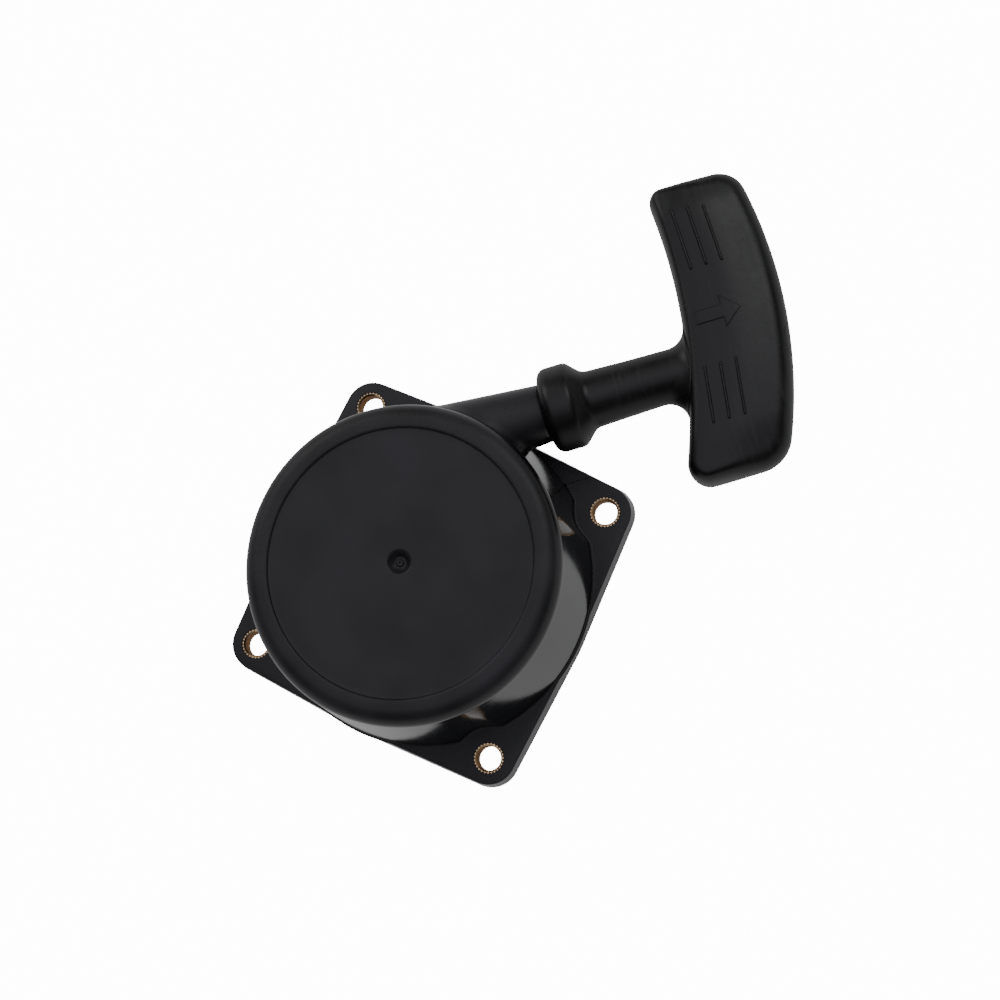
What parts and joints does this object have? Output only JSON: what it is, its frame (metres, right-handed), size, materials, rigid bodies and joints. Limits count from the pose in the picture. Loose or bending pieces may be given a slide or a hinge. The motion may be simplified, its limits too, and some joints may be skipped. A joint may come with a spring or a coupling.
{
  "type": "recoil starter",
  "caption": "Recoil starter for a small engine: moulded cup on a square flange, pull rope with a curved T-grip, sprung reel and swinging pawls.",
  "frame": {"origin": "centre of the mounting face on the starter axis", "axes": "+Z through the closed end of the cup, X and Y along the flange sides, rope pulled 40.25 degrees from +X towards +Y"},
  "size_m": [0.1111, 0.1594, 0.0349],
  "materials": {
    "black_moulding": "satin moulded, fine texture on the top disc",
    "handle_moulding": "satin moulded",
    "reel_moulding": "satin moulded",
    "brass": "knurled, lightly tarnished",
    "bronze": "plain turned",
    "steel": "zinc plated",
    "plated_steel": "stamped and zinc plated",
    "spring_steel": "blued, oiled",
    "pawl_steel": "sintered, dark",
    "rope": "braided polyester"
  },
  "bodies": {
    "housing": {"housing": "black_moulding", "insert_1": "brass", "insert_2": "brass", "insert_3": "brass", "insert_4": "brass", "post_insert": "brass", "rope_bushing": "steel", "recoil_spring": "spring_steel", "spring_plate": "plated_steel", "plate_screw_1": "steel", "plate_screw_2": "steel", "plate_screw_3": "steel", "thrust_washer": "plated_steel", "friction_spring": "spring_steel", "centre_screw": "steel"},
    "reel": {"reel": "reel_moulding", "reel_bushing": "bronze", "rope_coil": "rope", "coil_knot": "rope", "pawl_pin_1": "steel", "pawl_pin_2": "steel"},
    "friction_plate": {"friction_plate": "plated_steel"},
    "pawl_1": {"pawl_1": "pawl_steel"},
    "pawl_2": {"pawl_2": "pawl_steel"},
    "pull_rope": {"rope_run": "rope", "rope_knot": "rope", "knot_washer": "steel"},
    "handle": {"handle": "handle_moulding", "handle_cap": "handle_moulding"}
  },
  "joints": [
    {"name": "rope_pull", "type": "slide", "parent": "housing", "child": "pull_rope", "axis": [0.7632, 0.6461, 0], "range_m": [0, 0.7], "stiffness_N_per_m": 10, "springref_m": -0.8, "deforming": ["rope_run"]},
    {"name": "handle_swivel", "type": "hinge", "parent": "pull_rope", "child": "handle", "pos_m": [0.01616, 0.05056, 0.0195], "axis": [0.7632, 0.6461, 0], "continuous": true},
    {"name": "reel_turn", "type": "hinge", "parent": "housing", "child": "reel", "pos_m": [0, 0, 0.0195], "axis": [0, 0, -1], "range_deg": [0, 1620], "deforming": ["recoil_spring"]},
    {"name": "plate_turn", "type": "hinge", "parent": "reel", "child": "friction_plate", "pos_m": [0, 0, 0.008], "axis": [0, 0, 1], "range_deg": [0, 35]},
    {"name": "pawl_1_swing", "type": "hinge", "parent": "reel", "child": "pawl_1", "pos_m": [0.0145, 0, 0.0118], "axis": [0, 0, 1], "range_deg": [0, 30]},
    {"name": "pawl_2_swing", "type": "hinge", "parent": "reel", "child": "pawl_2", "pos_m": [-0.0145, 0, 0.0118], "axis": [0, 0, 1], "range_deg": [0, 30]}
  ],
  "couplings": [
    {"joint": "reel_turn", "follows": "rope_pull", "rad_per_m": 40.3},
    {"joint": "pawl_1_swing", "follows": "plate_turn", "ratio": 0.857},
    {"joint": "pawl_2_swing", "follows": "plate_turn", "ratio": 0.857}
  ]
}
